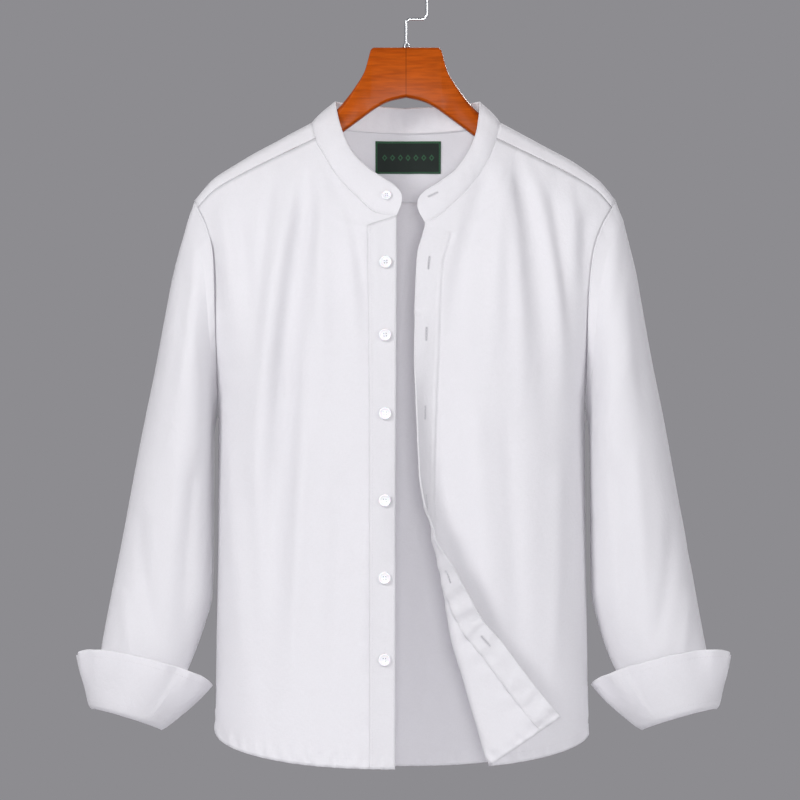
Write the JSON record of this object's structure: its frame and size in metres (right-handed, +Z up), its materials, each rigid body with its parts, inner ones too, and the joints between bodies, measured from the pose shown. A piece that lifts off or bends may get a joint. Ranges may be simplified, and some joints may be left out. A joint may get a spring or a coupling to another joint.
{
  "type": "mandarin collar shirt on a wooden hanger",
  "caption": "Long-sleeved mandarin collar shirt hanging open on a wooden hanger with a steel hook, cuffs turned back and one front corner folded out.",
  "frame": {"origin": "inside top of the hook's loop, where a rail carries it", "axes": "+Z up, -Y the way the front faces, +X towards the wearer's left"},
  "size_m": [0.7388, 0.2165, 0.9108],
  "materials": {
    "cotton": "white cotton poplin, plain weave, softly pressed",
    "button": "white four-hole button, polished",
    "label": "woven damask patch, very dark green, bare",
    "wood": "orange-brown varnished hardwood",
    "steel": "bright polished steel wire"
  },
  "bodies": {
    "root": {"front_right": "cotton", "front_left": "cotton", "back": "cotton", "yoke": "cotton", "collar": "cotton", "sleeve_right": "cotton", "sleeve_left": "cotton", "cuff_right": "cotton", "cuff_left": "cotton", "button_band": "cotton", "buttonhole_band": "cotton", "button_1": "button", "button_2": "button", "button_3": "button", "button_4": "button", "button_5": "button", "button_6": "button", "button_7": "button", "label": "label", "hanger": "wood", "hook": "steel", "hook_ferrule": "steel"}
  },
  "joints": []
}
